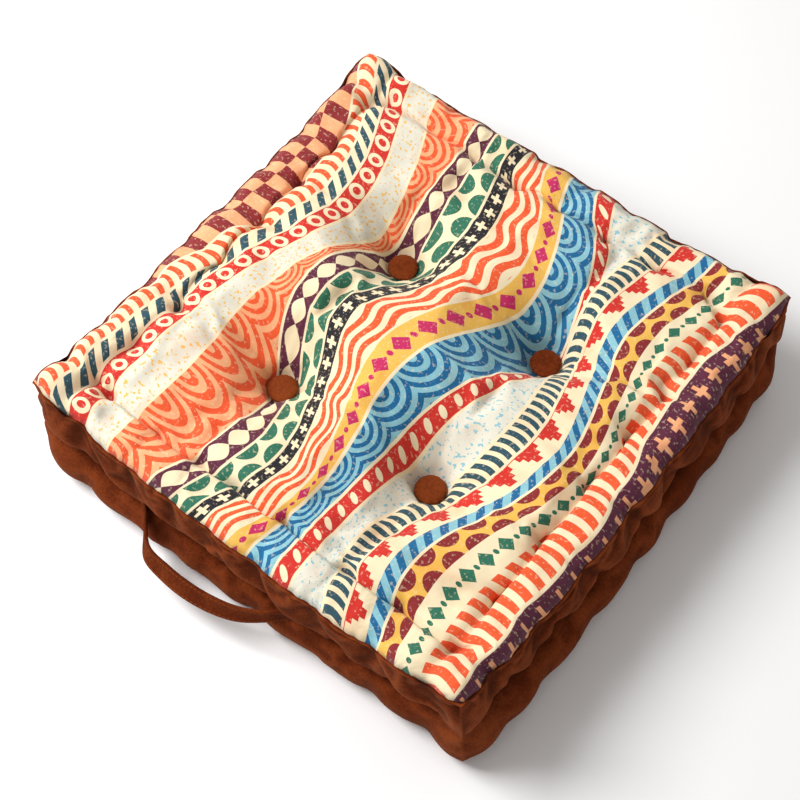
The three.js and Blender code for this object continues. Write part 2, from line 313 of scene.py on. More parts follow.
class Form:
    """The shape that the cut cloth is sewn into before it is filled, in millimetres."""

    def __init__(self, sizes):
        self.half = sizes.half / MM
        self.seam = sizes.seam / MM
        self.ear = sizes.ear / MM
        self.roll = sizes.roll / MM
        self.crease = sizes.crease / MM
        self.seat = sizes.seat / MM

    def tightness(self, stitch):
        """How tightly one stitch is pulled, from 0.45 to 1."""
        return 0.725 + 0.275 * math.sin(stitch * 1.7)

    def pucker(self, side, place, width, sharp):
        """How strongly a side's stitches draw the cloth at a place along it, some tighter than others."""
        return max(
            self.tightness(stitch) * math.exp(-((abs(place - stitch) / width) ** sharp))
            for stitch in side["stitches"]
        )

    def from_sides(self, x, y):
        """Each side with the distance in from its seam and the place along it."""
        for side in SIDES:
            (ax, ay), (ox, oy) = side["along"], side["out"]
            yield side, self.half - (x * ox + y * oy), x * ax + y * ay

    def from_button(self, x, y):
        """Distance in plan from the nearest button."""
        return min(math.hypot(x - b["x"], y - b["y"]) for b in BUTTONS)

    def seam_height(self, x, y):
        """Height of the seam, or of the cloth's lie before it is rolled and tufted."""
        nearest = math.hypot(self.half - abs(x), self.half - abs(y))
        uneven = UNEVEN_RISE * noise.noise(Vector((x, y, 7.0)) / UNEVEN_LENGTH)
        return self.seam + self.ear * hill(nearest, EAR_REACH) + uneven

    def plan(self, x, y):
        """Where a point of the square cut lies in plan."""
        px, py = x, y
        for side, inset, place in self.from_sides(x, y):
            bow = SEAM_BOW * math.cos(place / self.half * math.pi / 2)
            pull = STITCH_PULL * self.pucker(side, place, STITCH_WIDTH, 2)
            move = (bow - pull) * hill(inset, self.crease)
            px += side["out"][0] * move
            py += side["out"][1] * move
        for corner in CORNERS:
            (sx, sy), (rx, ry) = corner["at"], corner["reach"]
            away = math.hypot(x - sx * self.half, y - sy * self.half)
            blunt = CORNER_BLUNT * hill(away, CORNER_POINT)
            px += sx * (rx * hill(away, CORNER_REACH) - blunt)
            py += sy * (ry * hill(away, CORNER_REACH) - blunt)
        return px, py

    def pleats(self, x, y):
        """Depth of the folds that run through the buttons."""
        lengthways = max(math.exp(-abs(x - b["x"]) / PLEAT_WIDTH) for b in BUTTONS)
        crossways = max(math.exp(-abs(y - b["y"]) / PLEAT_WIDTH) for b in BUTTONS)
        return max(PLEAT_LENGTHWAYS * lengthways, PLEAT_CROSSWAYS * crossways)

    def top(self, x, y):
        """A point of the printed top."""
        inset = self.half - max(abs(x), abs(y))
        creases = [
            (CREASE_DEPTH + PUCKER_DEPTH * self.pucker(side, place, PUCKER_WIDTH, 1.4))
            * math.exp(-abs(depth - self.crease) / CREASE_WIDTH)
            for side, depth, place in self.from_sides(x, y)
        ]
        inside = 1 / (1 + math.exp((self.crease - inset) / MIDDLE_BLEND))
        rolled = self.roll * (1 - hill(inset, ROLL_WIDTH))
        crown = self.seam_height(x, y) + rolled - MIDDLE_DROP * inside
        sewn = crown - max(*creases, inside * self.pleats(x, y))
        beyond = max(0.0, self.from_button(x, y) - SEAT_RADIUS)
        pulled = math.exp(-((beyond / TUFT_REACH) ** 1.1))
        return (*self.plan(x, y), min(sewn, mix(crown, self.seat, pulled)))

    def top_held(self, x, y):
        """How firmly the stitches and buttons hold a point of the top while it is filled, from 0 to 1."""
        if self.from_button(x, y) < SEAT_RADIUS:
            return 1.0
        firm = 0.0
        for side, inset, place in self.from_sides(x, y):
            nearest = min(abs(place - stitch) for stitch in side["stitches"])
            if abs(inset - self.crease) < 4 and nearest < 5:
                return 1.0
            firm = max(firm, 0.16 * hill(inset - self.crease, 5), 0.7 * hill(inset, 5))
        return firm

    def border(self, x, y, part):
        """A point of the border, part of the way down from a point of the seam, and how firmly it is held."""
        side, _, place = min(self.from_sides(x, y), key=lambda s: (abs(s[1]), s[2]))
        (ax, ay), (ox, oy) = side["along"], side["out"]
        turn = smooth(self.half - SIDE_TURN, self.half, abs(place))
        lean = turn * math.copysign(1, place)
        way = Vector((ox + ax * lean, oy + ay * lean)).normalized()
        step = part * (len(BORDER_ROWS) - 1)
        low = min(int(step), len(BORDER_ROWS) - 2)
        upper, lower = BORDER_ROWS[low], BORDER_ROWS[low + 1]
        row = {k: mix(upper[k], lower[k], step - low) for k in upper}
        corner = CORNERS[(SIDES.index(side) + (place > 0)) % 4]
        swell = mix(mix(*side["swell"], place / (2 * self.half) + 0.5), corner["swell"], turn)
        drift = FOLD_DRIFT * noise.noise(Vector((x, y, 30 * part)) / DRIFT_LENGTH)
        leaned = place - BORDER_LEAN * (1 - row["level"]) + drift
        pinch = (1 - turn) * self.pucker(side, leaned, STITCH_WIDTH, 1.7)
        joined = JOIN_DEPTH * hill(self.half - abs(place), JOIN_WIDTH) * min(1, 12 * part)
        out = row["out"] * (1 - 0.85 * turn) + row["swell"] * swell - row["pinch"] * pinch - joined
        px, py = self.plan(x, y)
        point = px + way.x * out, py + way.y * out, row["level"] * self.seam_height(x, y)
        stitched = pinch > 0.7 and abs(row["level"] - GROOVE_LEVEL) < 0.03
        return point, 1.0 if stitched else max(row["held"], 0.3 * turn)


def sewn_cloth(sizes):
    """The cut cloth as one closed mesh: a grid for the top, rows for the border and a flat base."""
    form = Form(sizes)
    bm = bmesh.new()
    cut = bm.loops.layers.uv.new("cut")
    groups = bm.verts.layers.deform.verify()
    bmesh.ops.create_grid(bm, x_segments=sizes.cells, y_segments=sizes.cells, size=sizes.half)
    first = sizes.half * (1 - 2 / sizes.cells)
    for vert in bm.verts:
        for axis in (0, 1):
            if abs(abs(vert.co[axis]) - first) < 1e-5:
                vert.co[axis] = math.copysign(sizes.half - sizes.turned, vert.co[axis])
    flat = {v: (v.co.x / MM, v.co.y / MM) for v in bm.verts}
    for face in bm.faces:
        face.material_index = VELVET if any(v.is_boundary for v in face.verts) else PANEL
        for loop in face.loops:
            loop[cut].uv = loop.vert.co.xy / (2 * sizes.half) + Vector((0.5, 0.5))
    rim = [e for e in bm.edges if e.is_boundary]
    row = {v: flat[v] for e in rim for v in e.verts}
    for vert, (x, y) in flat.items():
        vert.co = Vector(form.top(x, y)) * MM
        vert[groups][HELD] = form.top_held(x, y)
        vert[groups][PUSHED] = 1.0
    for number in range(1, sizes.rows + 1):
        part = number / sizes.rows
        made = bmesh.ops.extrude_edge_only(bm, edges=rim)["geom"]
        below = {}
        for vert in (v for v in made if isinstance(v, bmesh.types.BMVert)):
            below[vert] = next(row[o] for e in vert.link_edges if (o := e.other_vert(vert)) in row)
        for vert, (x, y) in below.items():
            point, firm = form.border(x, y, part)
            vert.co = Vector(point) * MM
            vert[groups][HELD] = firm
            vert[groups][PUSHED] = sizes.border_push
            vert[groups][SNUG] = smooth(0.5, 0.65, part)
        row = below
        rim = [e for e in made if isinstance(e, bmesh.types.BMEdge) and e.is_boundary]
    bmesh.ops.contextual_create(bm, geom=rim)
    bmesh.ops.recalc_face_normals(bm, faces=bm.faces)
    for face in bm.faces:
        face.smooth = True
    put_in_order(bm)
    mesh = bpy.data.meshes.new("filled_form")
    bm.to_mesh(mesh)
    bm.free()
    return mesh


def put_in_order(bm):
    """Orders the edges and faces by their vertices, so that the cloth settles in the same way each time."""
    bm.verts.index_update()
    total = len(bm.verts)

    def number(part):
        ends = sorted(v.index for v in part.verts)
        return (ends[0] * total + ends[1]) * total + ends[-1]

    bm.edges.sort(key=number)
    bm.faces.sort(key=number)


def settle(context, mesh, sizes):
    """Fills the sewn cloth with pressure, lets it settle and returns the settled mesh."""
    cushion = bpy.data.objects.new("filled_form", mesh)
    context.collection.objects.link(cushion)
    for name in CLOTH_GROUPS:
        cushion.vertex_groups.new(name=name)
    cloth = cushion.modifiers.new("filling", "CLOTH")
    settings = cloth.settings
    settings.quality = 4
    settings.mass = 0.1
    settings.tension_stiffness = settings.compression_stiffness = 25
    settings.shear_stiffness = 8
    settings.bending_stiffness = 0.02
    settings.use_pressure = True
    settings.uniform_pressure_force = sizes.pressure
    settings.shrink_min = -sizes.slack
    settings.shrink_max = -sizes.snug
    settings.vertex_group_mass = CLOTH_GROUPS[HELD]
    settings.vertex_group_pressure = CLOTH_GROUPS[PUSHED]
    settings.vertex_group_shrink = CLOTH_GROUPS[SNUG]
    settings.effector_weights.gravity = 0
    cloth.point_cache.frame_end = sizes.steps
    start = [v.co.copy() for v in mesh.vertices]
    for number in range(1, sizes.steps + 1):
        context.scene.frame_set(number)
    settled = bpy.data.meshes.new_from_object(cushion.evaluated_get(context.evaluated_depsgraph_get()))
    bpy.data.objects.remove(cushion)
    context.scene.frame_set(1)
    for vert, old in zip(settled.vertices, start):
        move = vert.co - old
        if move.length > MOST_MOVE:
            vert.co = old + move * (MOST_MOVE / move.length)
        vert.co.z = max(vert.co.z, 0.0)
    return settled


def filled_form(context):
    """The filled cushion, made once and shared by the pieces cut from it."""
    if "filled" not in bpy.data.meshes:
        sizes = context.scene.cushion_sizes
        mesh = sewn_cloth(sizes)
        mesh = settle(context, mesh, sizes)
        mesh.name = "filled"
    return bpy.data.meshes["filled"]


def mark_folds(bm):
    """Stores at each vertex how deep it lies in a fold, above 0 in a hollow and below 0 on a ridge. The
    materials paint shade into the hollows by it, and the velvet also paints a highlight onto the ridges.
    """
    layers = bm.verts.layers.float
    fold = layers.get("fold") or layers.new("fold")
    bm.normal_update()
    for vert in bm.verts:
        near = [e.other_vert(vert).co for e in vert.link_edges]
        middle = sum(near, Vector()) / len(near)
        reach = sum((c - vert.co).length for c in near) / len(near)
        vert[fold] = (middle - vert.co).dot(vert.normal) / reach
    for _ in range(3):
        spread = {v: sum(e.other_vert(v)[fold] for e in v.link_edges) / len(v.link_edges) for v in bm.verts}
        for vert, value in spread.items():
            at_base = any(len(f.verts) > 4 for f in vert.link_faces)
            vert[fold] = 0.0 if at_base else 0.5 * (vert[fold] + value)


def finished(context, name, bm, material, levels=1):
    """A piece from a bmesh, smooth, with its folds marked, its material and its subdivision."""
    mark_folds(bm)
    for face in bm.faces:
        face.smooth = True
        face.material_index = 0
    mesh = bpy.data.meshes.new(name)
    bm.to_mesh(mesh)
    bm.free()
    mesh.materials.append(material)
    piece = bpy.data.objects.new(name, mesh)
    context.collection.objects.link(piece)
    if levels:
        rounded(piece, levels)
    return piece


def rounded(piece, levels):
    """Adds a live subdivision to a piece."""
    subdivision = piece.modifiers.new("rounding", "SUBSURF")
    subdivision.levels = subdivision.render_levels = levels


class Thread:
    """A socket of a material. Arithmetic on it adds Math nodes, and node() adds any other node."""

    def __init__(self, tree, socket=None):
        self.tree = tree
        self.socket = socket

    def node(self, kind, settings=None, sockets=None, out=0):
        """Adds a node with its settings, then its sockets' values or links, and returns one output."""
        made = self.tree.nodes.new("ShaderNode" + kind)
        for name, value in (settings or {}).items():
            setattr(made, name, value)
        for key, value in (sockets or {}).items():
            if isinstance(value, Thread):
                self.tree.links.new(value.socket, made.inputs[key])
            else:
                made.inputs[key].default_value = value
        return Thread(self.tree, made.outputs[out])

    def noise(self, place, scale, detail, **others):
        """Noise at a place."""
        return self.node("TexNoise", None, {"Vector": place, "Scale": scale, "Detail": detail, **others})

    def feeds(self, node, name):
        """Links this value to an input of a node."""
        self.tree.links.new(self.socket, node.inputs[name])

    def math(self, operation, *others):
        """A Math node on this value and others."""
        return self.node("Math", {"operation": operation}, dict(enumerate((self, *others))))

    def after(self, operation, other):
        """A Math node on another value and this one."""
        return self.node("Math", {"operation": operation}, {0: other, 1: self})

    def __add__(self, other):
        return self.math("ADD", other)

    __radd__ = __add__

    def __sub__(self, other):
        return self.math("SUBTRACT", other)

    def __rsub__(self, other):
        return self.after("SUBTRACT", other)

    def __mul__(self, other):
        return self.math("MULTIPLY", other)

    __rmul__ = __mul__

    def __truediv__(self, other):
        return self.math("DIVIDE", other)

    def __rtruediv__(self, other):
        return self.after("DIVIDE", other)

    def __lt__(self, other):
        return self.math("LESS_THAN", other)

    def __gt__(self, other):
        return self.math("GREATER_THAN", other)

    def __abs__(self):
        return self.math("ABSOLUTE")

    def fract(self):
        """The part of this value past its whole number."""
        return self.math("FRACT")

    def floor(self):
        """The whole number below this value."""
        return self.math("FLOOR")

    def sin(self):
        """The sine of this value."""
        return self.math("SINE")

    def times_plus(self, factor, term):
        """This value times a factor, plus a term."""
        return self.math("MULTIPLY_ADD", factor, term)

    def both(self, other):
        """The smaller of two values, which is 1 where both marks are."""
        return self.math("MINIMUM", other)

    def either(self, other):
        """The larger of two values, which is 1 where either mark is."""
        return self.math("MAXIMUM", other)

    def kept(self, low, high):
        """This value kept between two limits."""
        return self.either(low).both(high)

    def distance(self, other):
        """Length of the vector whose parts are this value and another."""
        return (self * self + other * other).math("SQRT")

    def parts(self):
        """The X and Y parts of this vector."""
        split = self.node("SeparateXYZ", None, {0: self}).socket.node
        return [Thread(self.tree, split.outputs[axis]) for axis in (0, 1)]

    def tint(self, low, high, blend="MIX"):
        """A colour from low to high by this value."""
        settings = {"data_type": "RGBA", "blend_type": blend}
        return self.node("Mix", settings, {"Factor": self, 6: low, 7: high}, out=2)


def shader(name):
    """A new material's tree wrapped for arithmetic, with its Principled shader."""
    material = bpy.data.materials.new(name)
    material.use_nodes = True
    tree = material.node_tree
    return material, Thread(tree), tree.nodes["Principled BSDF"]


def velvet(name, look, lift=1.0):
    """Short velvet: brushed patches of nap, standing pile, a soft sheen, painted shade in its folds and a
    painted highlight on its ridges.
    """
    material, at, surface = shader(name)
    place = at.node("TexCoord", out=3)
    patches = at.noise(place, 20.0, 2.0, Distortion=0.5)
    grain = at.noise(place, 420.0, 3.0, Roughness=0.6)
    pile = at.noise(place, 1700.0, 2.0)
    # The fold value drives painted shade in hollows and a painted highlight on ridges.
    fold = at.node("Attribute", {"attribute_name": "fold"}, out=2) * 5.0
    # Lighter brushed patches of nap, plus a painted highlight on ridges, where the fold value is below 0.
    rub_and_ridge_light = ((patches - 0.44) * 2.0 + (grain - 0.5) * 0.9 - fold).kept(0.0, 1.0)
    standing = (grain - 0.5) * 0.8 + (pile - 0.5) * 0.6 + (patches - 0.5) * 0.5
    brushed = rub_and_ridge_light.tint(tuple(look.nap), tuple(look.rubbed))
    # Painted shade: hollows, where the fold value is above 0, are darkened towards the deep colour; standing
    # pile darkens at random too.
    (standing - fold + 0.74).kept(0.0, 1.0).tint(tuple(look.deep_and_fold_shade), brushed).feeds(surface, "Base Color")
    (0.98 - rub_and_ridge_light * 0.18).feeds(surface, "Roughness")
    relief = pile * 0.5 + grain * 0.5
    at.node("Bump", None, {"Strength": 0.3, "Distance": 0.001, "Height": relief}).feeds(surface, "Normal")
    surface.inputs["Sheen Weight"].default_value = look.sheen * lift
    surface.inputs["Sheen Roughness"].default_value = 0.4
    surface.inputs["Sheen Tint"].default_value = (1.0, 0.5, 0.22, 1.0)
    surface.inputs["Specular IOR Level"].default_value = 0.06
    return material


def on_panel(vert):
    """Whether a vertex of the filled form belongs to the printed panel."""
    return any(f.material_index == PANEL for f in vert.link_faces)


class CUSHION_OT_fill_case(bpy.types.Operator):
    """Cuts the cloth, sews it into shape, fills it and makes the velvet case"""

    bl_idname = "cushion.fill_case"
    bl_label = "Fill Case"

    def execute(self, context):
        sizes = context.scene.cushion_sizes
        bm = bmesh.new()
        bm.from_mesh(filled_form(context))
        bm.normal_update()
        for vert in bm.verts:
            if on_panel(vert):
                vert.co -= vert.normal * (sizes.cloth + PANEL_GAP)
            elif any(on_panel(e.other_vert(vert)) for e in vert.link_edges):
                vert.co += vert.normal * sizes.lip
        material = velvet("velvet_case", context.scene.velvet_look)
        case = finished(context, "velvet_case", closed_below(context, bm), material, levels=0)
        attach(case, "root")
        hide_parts("cushion_case")
        return {"FINISHED"}


def closed_below(context, bm):
    """Rounds the open cloth of a case once and closes its base with one flat face."""
    base = max(bm.faces, key=lambda f: len(f.verts))
    bmesh.ops.delete(bm, geom=[base], context="FACES_ONLY")
    shell = finished(context, "open_case", bm, None)
    whole = bpy.data.meshes.new_from_object(shell.evaluated_get(context.evaluated_depsgraph_get()))
    bpy.data.objects.remove(shell)
    bm = bmesh.new()
    bm.from_mesh(whole)
    bpy.data.meshes.remove(whole)
    made = bmesh.ops.extrude_edge_only(bm, edges=[e for e in bm.edges if e.is_boundary])["geom"]
    ring = [v for v in made if isinstance(v, bmesh.types.BMVert)]
    bmesh.ops.scale(bm, vec=(BASE_RING, BASE_RING, 1), verts=ring)
    bmesh.ops.contextual_create(bm, geom=[e for e in bm.edges if e.is_boundary])
    bmesh.ops.recalc_face_normals(bm, faces=bm.faces)
    return bm


class CUSHION_OT_lay_panel(bpy.types.Operator):
    """Cuts the printed panel from the filled top, inside the turned seam edge"""

    bl_idname = "cushion.lay_panel"
    bl_label = "Lay Printed Panel"

    def execute(self, context):
        sizes = context.scene.cushion_sizes
        bm = bmesh.new()
        bm.from_mesh(filled_form(context))
        bmesh.ops.delete(bm, geom=[f for f in bm.faces if f.material_index == VELVET], context="FACES")
        panel = finished(context, "printed_panel", bm, printed_cloth(context.scene.print_colours))
        cloth = panel.modifiers.new("cloth", "SOLIDIFY")
        cloth.thickness = sizes.cloth
        cloth.offset = -1
        side = 2 * (sizes.half - sizes.turned) * (1 + sizes.slack)
        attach(panel, "root")
        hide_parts("top_panel")
        return {"FINISHED"}


PRINT_SIDE = 450.0  # side of the printed square, in millimetres
YARN = 0.9  # distance over which the weave repeats, in millimetres


def printed_cloth(colours):
    """Plain woven cotton printed with waving bands of common motifs."""
    material, at, surface = shader("printed_cotton")
    cut = at.node("UVMap", {"uv_map": "cut"})
    x, y = (part * PRINT_SIDE - PRINT_SIDE / 2 for part in cut.parts())
    Print(x, y, cut, colours).drawn().feeds(surface, "Base Color")
    warp, weft = ((part * (2 * math.pi / YARN)).sin() for part in (x, y))
    slub = at.noise(cut, 90.0, 3.0)
    crumple = at.noise(cut, 24.0, 3.0, Distortion=1.2)
    near_edge = ((abs(x).either(abs(y)) - 140.0) / 60.0).kept(0.15, 1.0)
    height = warp * weft * 0.05 + slub * 0.15 + near_edge * crumple * 1.5
    at.node("Bump", None, {"Strength": 0.5, "Distance": 0.0025, "Height": height}).feeds(surface, "Normal")
    (slub * 0.15 + 0.72).feeds(surface, "Roughness")
    surface.inputs["Specular IOR Level"].default_value = 0.25
    surface.inputs["Sheen Weight"].default_value = 0.1
    return material


class Print:
    """The printed design: bands that run from the handle side to the far side, each with its own motif."""

    def __init__(self, x, y, cut, colours):
        self.x, self.y, self.cut = x, y, cut
        self.ink = {name: tuple(getattr(colours, name)) for name in colours.__annotations__}
        self.swing = (y * (2 * math.pi / 430) + 0.6).sin()
        self.ripple = (y * (2 * math.pi / 260) - 1.1).sin()

    def edge(self, band):
        """A band's first edge: its place at the middle and how far the two waves carry it."""
        return self.swing.times_plus(band["swing"], self.ripple.times_plus(band["ripple"], band["place"]))

    def drawn(self):
        """The colour of the printed cloth, with its speckle, clouds and painted shade in its folds."""
        shade = self.ink["cream"]
        edges = [self.edge(band) for band in BANDS]
        for band, low, high in zip(BANDS, edges, edges[1:] + [None]):
            depth = self.x - low
            width = (high - low) if high else LAST_BAND
            filled = MOTIFS[band["motif"]](depth / width, self.y / band["length"])
            figure = filled.tint(self.ink[band["ground"]], self.ink[band["figure"]])
            lined = (abs(depth) < band["line"]).tint(figure, self.ink["cream"])
            shade = (depth > -band["line"]).tint(shade, lined)
        speckle = ((self.x.noise(self.cut, 170.0, 2.0) - 0.58) * 4.0).kept(0.0, 0.35)
        shade = speckle.tint(shade, self.ink["cream"])
        cloudy = ((0.46 - self.x.noise(self.cut, 14.0, 4.0)) * 1.8).kept(0.0, 0.3)
        shade = cloudy.tint(shade, self.ink["peach"], "MULTIPLY")
        fold = self.x.node("Attribute", {"attribute_name": "fold"}, out=2)
        # Painted shade: the print is multiplied towards maroon in the hollows of its folds and creases.
        return (fold * 2.0 - 0.05).kept(0.0, 0.4).tint(shade, self.ink["maroon"], "MULTIPLY")


# Each motif marks where its figure is, from the share of the way across its band and the repeats along it.


def flecks(across, along):
    """Small scattered flecks."""
    place = across.node("CombineXYZ", None, {0: across * 2.6, 1: along})
    return across.noise(place, 3.0, 2.0) > 0.6


def rope(across, along):
    """Slanting turns of a rope."""
    return (along + across * 0.8).fract() < 0.5


def lozenges(across, along):
    """Lozenges with a dot between them."""
    dots = ((along + 0.5).fract() - 0.5).distance((across - 0.5) * 0.8) < 0.09
    return ((abs(along.fract() - 0.5) + abs(across - 0.5)) < 0.33).either(dots)


def checks(across, along):
    """Squares of two colours."""
    return abs((along * 0.5).fract().math("ROUND") - (across * 1.5).fract().math("ROUND")) > 0.5


def moons(across, along):
    """Half circles from both edges, in turn."""
    near = (along.fract() - 0.5).distance(across * 0.9) < 0.42
    far = ((along + 0.5).fract() - 0.5).distance((1.0 - across) * 0.9) < 0.42
    return near.either(far)


def crosses(across, along):
    """Upright crosses."""
    one = abs(along.fract() - 0.5)
    other = abs(across - 0.5)
    return (one.both(other) < 0.09).both(one.either(other) < 0.3)


def waves(across, along):
    """Three waving lines."""
    return abs((across * 3.0 + (along * (2 * math.pi)).sin() * 0.35).fract() - 0.5) < 0.27


def arches(across, along):
    """Rows of nested arches."""
    return ((along.fract() - 0.5).distance(across * 0.8) * 5.0).fract() < 0.5


def drops(across, along):
    """Slanting oval drops."""
    sideways = along.fract() - 0.5 + (across - 0.5) * 0.5
    return (sideways * 1.5).distance(across - 0.5) < 0.3


def steps(across, along):
    """Stepped hills."""
    return across < (abs(along.fract() - 0.5) * 8.0).floor() * 0.25 + 0.1


def bars(across, along):
    """Bowed bars."""
    return (along + (across - 0.5) * (across - 0.5) * 1.2).fract() < 0.45


def petals(across, along):
    """Pointed petals end to end."""
    return abs(across - 0.5) < (along.fract() * math.pi).sin() * 0.34


def rings(across, along):
    """Plain rings."""
    away = (along.fract() - 0.5).distance((across - 0.5) * 0.9)
    return abs(away - 0.27) < 0.09


MOTIF_LIST = (
    flecks, rope, lozenges, checks, moons, crosses, waves, arches, drops, steps, bars, petals, rings,
)
MOTIFS = {motif.__name__: motif for motif in MOTIF_LIST}

# The printed bands from the -X seam to the +X seam, in millimetres: place of the first edge at the middle,
# how far the two waves carry that edge, the motif, the length it repeats over, its colours and its outline.
BAND_COLUMNS = ("place", "swing", "ripple", "motif", "length", "ground", "figure", "line")
BANDS = tuple(dict(zip(BAND_COLUMNS, row)) for row in (
    (-260, 0, 0, "checks", 13, "peach", "maroon", 1.0),
    (-204, 22, 6, "bars", 11, "cream", "orange", 1.0),
    (-186, 24, 6, "rope", 15, "teal", "cream", 1.2),
    (-171, 24, 5, "rings", 17, "red", "cream", 1.2),
    (-152, 22, 6, "flecks", 9, "pale", "yellow", 1.2),
    (-127, 16, 10, "arches", 30, "orange", "peach", 1.2),
    (-93, -12, 14, "petals", 20, "plum", "cream", 1.2),
    (-71, -14, 15, "moons", 24, "cream", "green", 1.2),
    (-47, -8, 18, "crosses", 15, "navy", "cream", 1.2),
    (-31, -4, 18, "waves", 44, "cream", "orange", 1.2),
    (0, 8, 20, "lozenges", 24, "yellow", "magenta", 1.2),
    (22, 14, 14, "arches", 36, "blue", "aqua", 1.4),
    (55, 26, 10, "drops", 14, "red", "cream", 1.2),
    (71, 24, 8, "flecks", 9, "pale", "aqua", 1.2),
    (93, 10, -12, "bars", 8, "teal", "cream", 1.4),
    (112, 8, -14, "steps", 26, "cream", "red", 1.2),
    (130, 6, -16, "rope", 14, "aqua", "blue", 1.2),
    (143, 6, -14, "moons", 22, "yellow", "maroon", 1.2),
    (162, 4, -12, "lozenges", 18, "cream", "green", 1.2),
    (179, -2, -10, "bars", 13, "orange", "cream", 1.4),
    (209, -8, -6, "crosses", 19, "plum", "peach", 1.4),
))
LAST_BAND = 26.0  # width of the last band


class CUSHION_OT_tie_buttons(bpy.types.Operator):
    """Makes the four velvet covered buttons"""

    bl_idname = "cushion.tie_buttons"
    bl_label = "Tie Buttons"

    def execute(self, context):
        material = velvet("velvet_button", context.scene.velvet_look, 1.2)
        for button in BUTTONS:
            node = "button_" + button["place"]
            bm = covered_button(context.scene.button_sizes)
            place = (button["x"] * MM, button["y"] * MM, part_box(node)[0].z)
            bmesh.ops.translate(bm, verts=bm.verts, vec=place)
            piece = finished(context, "covered_" + node, bm, material, levels=0)
            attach(piece, "root")
            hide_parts(node)
        return {"FINISHED"}


def covered_button(sizes):
    """One button standing on the origin, its cover gathered round its rim."""
    bm = bmesh.new()
    verts = [bm.verts.new((radius, 0, height)) for radius, height in button_outline(sizes)]
    edges = [bm.edges.new(pair) for pair in zip(verts, verts[1:])]
    bmesh.ops.spin(
        bm, geom=verts + edges, cent=(0, 0, 0), axis=(0, 0, 1), angle=2 * math.pi, steps=64, use_merge=True
    )
    bmesh.ops.remove_doubles(bm, verts=bm.verts, dist=1e-6)
    bmesh.ops.recalc_face_normals(bm, faces=bm.faces)
    for vert in bm.verts:
        turn = math.atan2(vert.co.y, vert.co.x)
        rim = hill(vert.co.xy.length - sizes.radius * 0.93, sizes.radius * 0.16)
        tuck = 0.5 + 0.5 * math.cos(sizes.tucks * turn + 2 * math.sin(3 * turn))
        vert.co.xy *= 1 - 0.025 * rim * tuck
        vert.co.z -= 0.0003 * rim * tuck
    return bm


def button_outline(sizes):
    """Half section of a covered button: its shallow back, rolled rim and low dome, as radius and height."""
    rim = sizes.height * 0.45
    back = [(0.0, 0.0003), (sizes.radius * 0.4, 0.0002), (sizes.radius * 0.68, 0.0)]
    for k in range(1, 7):
        turn = k / 6 * math.pi / 2
        back.append((sizes.radius * mix(0.68, 1.0, math.sin(turn)), rim * (1 - math.cos(turn))))
    dome = []
    for k in range(1, 9):
        turn = k / 8 * math.pi / 2
        radius = sizes.radius * math.cos(turn) if k < 8 else 0.0
        dome.append((radius, rim + (sizes.height - rim) * math.sin(turn)))
    return back + dome


STRAP_CELLS = (72, 8)  # cells along the strap and across it
STRAP_DISH = 0.0006  # how far the strap's edges stand over its middle, in metres


class CUSHION_OT_sew_handle(bpy.types.Operator):
    """Makes the folded velvet strap of the handle"""

    bl_idname = "cushion.sew_handle"
    bl_label = "Sew Handle"

    def execute(self, context):
        sizes = context.scene.handle_sizes
        along, wide = STRAP_CELLS
        path = strap_path(along, seated_rows(sizes))
        reach = sum((b[0] - a[0]).length for a, b in zip(path, path[1:]))
        bm = bmesh.new()
        bmesh.ops.create_grid(bm, x_segments=along, y_segments=wide, size=0.5)
        strap = bm.loops.layers.uv.new("strap")
        for loop in (loop for face in bm.faces for loop in face.loops):
            place = loop.vert.co
            loop[strap].uv = ((place.x + 0.5) * reach / MM, place.y * sizes.width / MM)
        for vert in bm.verts:
            middle, across, face = path[round((vert.co.x + 0.5) * along)]
            from_end = (0.5 - abs(vert.co.x)) * reach
            sideways = 2 * vert.co.y * (1 - sizes.gather * hill(from_end, sizes.gathered))
            dish = STRAP_DISH * (sideways * sideways - 0.4)
            vert.co = middle + across * (sideways * sizes.width / 2) + face * dish
        material = strap_cloth(context.scene.velvet_look, sizes, reach)
        piece = finished(context, "strap_handle", bm, material, levels=0)
        body = piece.modifiers.new("fold", "SOLIDIFY")
        body.thickness = sizes.thickness
        body.offset = 0
        rounded(piece, 2)
        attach(piece, "root")
        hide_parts("handle_strap")
        return {"FINISHED"}


def seated_rows(sizes):
    """Middle line of the strap with its sewn ends laid on the filled border."""
    case = bpy.data.objects["velvet_case"].data
    tree = BVHTree.FromPolygons([v.co for v in case.vertices], [p.vertices for p in case.polygons])
    rows = [Vector((r["x"], r["y"], r["z"])) * MM for r in STRAP_ROWS]
    inwards = Vector((0, 1, 0))
    for end, inner in ((0, 1), (-1, -1)):
        starts = [rows[end] + Vector((0, -0.2, up)) for up in (-0.005, 0, 0.005)]
        surface = sum(tree.ray_cast(start, inwards)[0].y for start in starts) / 3
        move = surface - sizes.thickness / 2 + sizes.sunk - rows[end].y
        for step, part in enumerate((1.0, 0.7, 0.25)):
            rows[end + inner * step].y += move * part
    return rows


def strap_path(cells, rows):
    """Stations along the strap: middle, direction across and direction out of its face."""
    points = []
    for k in range(cells + 1):
        step = k / cells * (len(rows) - 1)
        low = min(int(step), len(rows) - 2)
        t = step - low
        a, b, c, d = (rows[min(max(low + o, 0), len(rows) - 1)] for o in (-1, 0, 1, 2))
        bend = (2 * a - 5 * b + 4 * c - d) * t * t + (3 * b - a - 3 * c + d) * t ** 3
        tilt = mix(STRAP_ROWS[low]["tilt"], STRAP_ROWS[low + 1]["tilt"], t)
        points.append((0.5 * (2 * b + (c - a) * t + bend), math.radians(tilt)))
    stations = []
    for k, (point, tilt) in enumerate(points):
        way = (points[min(k + 1, cells)][0] - points[max(k - 1, 0)][0]).normalized()
        across = Vector((0, -math.sin(tilt), math.cos(tilt)))
        across = (across - way * across.dot(way)).normalized()
        stations.append((point, across, way.cross(across)))
    return stations


